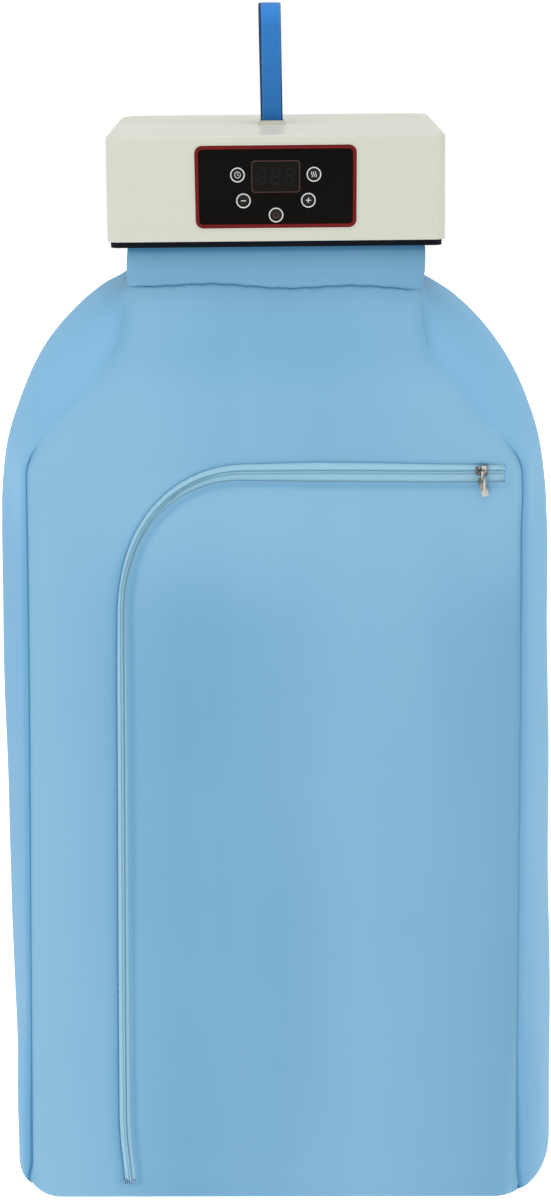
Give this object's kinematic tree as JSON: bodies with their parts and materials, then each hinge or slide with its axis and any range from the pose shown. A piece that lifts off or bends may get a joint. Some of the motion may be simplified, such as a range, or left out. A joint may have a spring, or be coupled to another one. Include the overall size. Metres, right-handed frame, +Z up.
{
  "type": "portable clothes dryer",
  "caption": "Hanging clothes dryer: a heater head with a control panel on a webbing loop, over a zipped light blue fabric drying bag.",
  "frame": {"origin": "inner top of the webbing hanging loop, where the rail that carries the dryer lies", "axes": "+Z up, -Y out of the front with the control panel and the zip, +X to the right as seen from the front"},
  "size_m": [0.594, 0.2899, 1.1976],
  "materials": {
    "cream_plastic": "moulded, fine satin grain",
    "black_plastic": "moulded, fine grain",
    "gloss_black": "polished",
    "dark_red": "polished, translucent dark red",
    "key_plastic": "polished with a printed ring",
    "smoked_lens": "polished smoked lens",
    "circuit_board": "solder mask",
    "grey_plastic": "moulded",
    "white_nylon": "moulded",
    "steel": "plated",
    "bright_zip_metal": "nickel plated",
    "aluminium": "plain",
    "filter_foam": "open foam",
    "hook_tape": "hook pile",
    "light_blue_cloth": "coated plain weave",
    "pale_blue_tape": "woven tape",
    "dark_teal_coil": "nylon coil",
    "blue_webbing": "narrow woven"
  },
  "bodies": {
    "root": {"top_cover": "cream_plastic", "base_tray": "black_plastic", "outlet_grille": "black_plastic", "inlet_grille": "black_plastic", "power_inlet": "black_plastic", "display_module": "black_plastic", "control_fascia": "gloss_black", "fascia_trim": "dark_red", "display_window": "smoked_lens", "control_board": "circuit_board", "power_board": "circuit_board", "blower_housing": "grey_plastic", "heater_frame": "white_nylon", "strap_bar": "steel", "cover_screw_1": "steel", "cover_screw_2": "steel", "cover_screw_3": "steel", "cover_screw_4": "steel", "blower_motor": "steel", "bail_lug_front": "steel", "bail_lug_back": "steel", "inlet_pin_line": "steel", "inlet_pin_neutral": "steel", "inlet_pin_earth": "steel", "heater_core": "aluminium", "thermostat": "aluminium", "inlet_filter": "filter_foam", "neck_hook_tape": "hook_tape", "bag_neck": "light_blue_cloth", "bag_front": "light_blue_cloth", "bag_back": "light_blue_cloth", "bag_gusset_left": "light_blue_cloth", "bag_gusset_right": "light_blue_cloth", "bag_bottom": "light_blue_cloth", "zip_tape_bag": "pale_blue_tape", "zip_coil_bag": "dark_teal_coil", "zip_bottom_stop": "blue_webbing"},
    "strap": {"hanging_strap": "blue_webbing"},
    "timer_key": {"key_timer": "key_plastic"},
    "heat_key": {"key_heat": "key_plastic"},
    "minus_key": {"key_minus": "key_plastic"},
    "plus_key": {"key_plus": "key_plastic"},
    "power_key": {"key_power": "key_plastic"},
    "fan_wheel": {"impeller": "grey_plastic", "motor_shaft": "steel"},
    "bail": {"hanger_bail": "steel"},
    "door": {"bag_door": "light_blue_cloth", "zip_tape_door": "pale_blue_tape", "zip_coil_door": "dark_teal_coil"},
    "slider": {"zip_slider": "bright_zip_metal"},
    "link": {"zip_link": "bright_zip_metal"},
    "pull": {"zip_pull": "bright_zip_metal"}
  },
  "joints": [
    {"name": "strap_swing", "type": "hinge", "parent": "root", "child": "strap", "pos_m": [-0.003, 0, -0.1051], "axis": [1, 0, 0], "range_deg": [-40, 40]},
    {"name": "timer_key_press", "type": "slide", "parent": "root", "child": "timer_key", "axis": [0, 1, 0], "range_m": [0, 0.0008], "stiffness_N_per_m": 1200},
    {"name": "heat_key_press", "type": "slide", "parent": "root", "child": "heat_key", "axis": [0, 1, 0], "range_m": [0, 0.0008], "stiffness_N_per_m": 1200},
    {"name": "minus_key_press", "type": "slide", "parent": "root", "child": "minus_key", "axis": [0, 1, 0], "range_m": [0, 0.0008], "stiffness_N_per_m": 1200},
    {"name": "plus_key_press", "type": "slide", "parent": "root", "child": "plus_key", "axis": [0, 1, 0], "range_m": [0, 0.0008], "stiffness_N_per_m": 1200},
    {"name": "power_key_press", "type": "slide", "parent": "root", "child": "power_key", "axis": [0, 1, 0], "range_m": [0, 0.0008], "stiffness_N_per_m": 1200},
    {"name": "fan_spin", "type": "hinge", "parent": "root", "child": "fan_wheel", "pos_m": [0, 0, -0.15], "axis": [0, 0, 1], "continuous": true},
    {"name": "bail_swing", "type": "hinge", "parent": "root", "child": "bail", "pos_m": [0, 0, -0.219], "axis": [0, 1, 0], "range_deg": [-85, 85]},
    {"name": "door_fold", "type": "hinge", "parent": "root", "child": "door", "pos_m": [0.172, -0.141, -0.405], "axis": [0.3905, 0, 0.9206], "range_deg": [0, 135]},
    {"name": "zip_slide", "type": "slide", "parent": "root", "child": "slider", "axis": [-1, 0, 0], "range_m": [0, 0.2]},
    {"name": "link_lift", "type": "hinge", "parent": "slider", "child": "link", "pos_m": [0.186, -0.1468, -0.405], "axis": [-1, 0, 0], "range_deg": [0, 170]},
    {"name": "pull_swing", "type": "hinge", "parent": "link", "child": "pull", "pos_m": [0.186, -0.1468, -0.413], "axis": [0, 1, 0], "range_deg": [-95, 125]}
  ]
}
